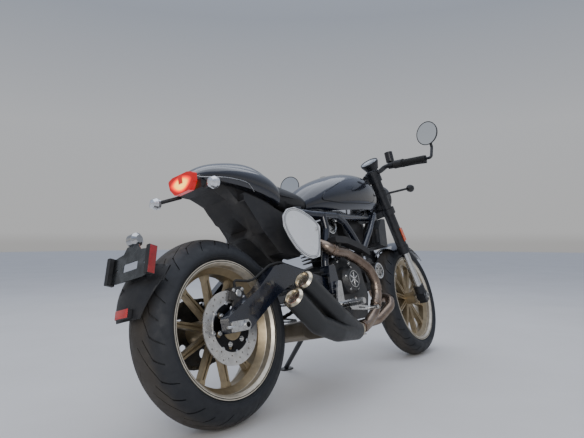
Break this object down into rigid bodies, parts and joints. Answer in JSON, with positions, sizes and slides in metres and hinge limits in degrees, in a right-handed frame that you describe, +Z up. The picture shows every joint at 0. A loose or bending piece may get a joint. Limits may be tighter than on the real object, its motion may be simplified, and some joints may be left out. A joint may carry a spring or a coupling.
{
  "type": "scrambler motorcycle",
  "caption": "Black scrambler motorcycle with bronze cast wheels, a rounded tank, blank side plates and a stacked exhaust, parked on its side stand",
  "frame": {"origin": "On the floor under the middle of the machine's overall box as it stands parked", "axes": "+X forward, +Y to the rider's left, +Z up; the floor is z = 0. The machine leans 13.1 degrees to its left on the side stand"},
  "size_m": [2.0891, 0.9511, 1.2117],
  "materials": {
    "black_gloss": "deep gloss black, over-sprayed panels",
    "black_satin": "satin black powder coat",
    "matt_black": "matt moulded black",
    "seat_cover": "black grained seat cover",
    "gold_cast": "matt bronze-gold, machined rim edges",
    "tyre": "road rubber, brown dust on the tread",
    "disc_steel": "ground steel, drilled",
    "chrome": "polished",
    "bright_alloy": "bare cast and machined alloy",
    "engine_grey": "dark grey coated castings",
    "header_steel": "heat-tinted stainless",
    "grip_rubber": "ribbed rubber",
    "red_lens": "clear red plastic",
    "clear_lens": "clear lens",
    "white_plate": "white, blank",
    "mirror": "silvered glass",
    "coil_red": "black coil spring and damper",
    "chain_steel": "oiled roller chain"
  },
  "bodies": {
    "frame": {"belt_covers": "engine_grey", "crankcase_covers": "engine_grey", "cylinders": "engine_grey", "drive_chain": "chain_steel", "engine_block": "engine_grey", "exhaust_box": "header_steel", "exhaust_headers": "header_steel", "foot_levers": "bright_alloy", "footrests": "bright_alloy", "fuel_tank": "black_gloss", "heat_guard": "matt_black", "main_frame": "black_satin", "plate_bracket": "matt_black", "plate_guard": "matt_black", "plate_lamp": "chrome", "plate_reflectors": "red_lens", "rear_axle": "bright_alloy", "rear_brake_hose": "grip_rubber", "rear_caliper": "black_satin", "rear_indicator_lenses": "clear_lens", "rear_shock": "coil_red", "regulator": "engine_grey", "seat": "seat_cover", "seat_cowl": "black_gloss", "side_plates": "white_plate", "silencers": "black_satin", "stand_bracket": "black_satin", "swingarm": "black_satin", "tail_light": "red_lens", "tail_unit": "matt_black", "tank_panels": "black_gloss"},
    "steering": {"fork_yokes": "black_satin", "fork_outer_tubes": "black_satin", "fork_stanchions": "chrome", "fork_feet": "black_satin", "front_axle": "bright_alloy", "front_caliper": "black_satin", "front_mudguard": "black_gloss", "handlebars": "black_satin", "grips": "grip_rubber", "switch_pods": "matt_black", "hand_levers": "black_satin", "mirrors": "black_satin", "mirror_glasses": "mirror", "headlight": "black_satin", "headlight_lens": "clear_lens", "gauge": "black_satin", "front_indicators": "matt_black", "front_brake_hose": "grip_rubber"},
    "rear_wheel": {"rear_tyre": "tyre", "rear_wheel": "gold_cast", "rear_disc": "disc_steel", "rear_sprocket": "chain_steel"},
    "front_wheel": {"front_tyre": "tyre", "front_wheel": "gold_cast", "front_disc": "disc_steel"},
    "side_stand": {"side_stand": "black_satin"}
  },
  "joints": [
    {"name": "rear_wheel_spin", "type": "hinge", "parent": "frame", "child": "rear_wheel", "pos_m": [-0.6917, -0.1748, 0.30928], "axis": [0, 0.974, -0.2267], "continuous": true},
    {"name": "steering", "type": "hinge", "parent": "frame", "child": "steering", "pos_m": [0.54185, -0.07827, 0.72412], "axis": [-0.3714, 0.2104, 0.9043], "range_deg": [-36.8, 29.2]},
    {"name": "front_wheel_spin", "type": "hinge", "parent": "steering", "child": "front_wheel", "pos_m": [0.74501, -0.17708, 0.29244], "axis": [-0.0615, 0.9663, -0.2501], "continuous": true},
    {"name": "side_stand_fold", "type": "hinge", "parent": "frame", "child": "side_stand", "pos_m": [-0.0857, -0.07226, 0.19403], "axis": [-0.3521, 0.9272, -0.1278], "range_deg": [0, 110]}
  ]
}
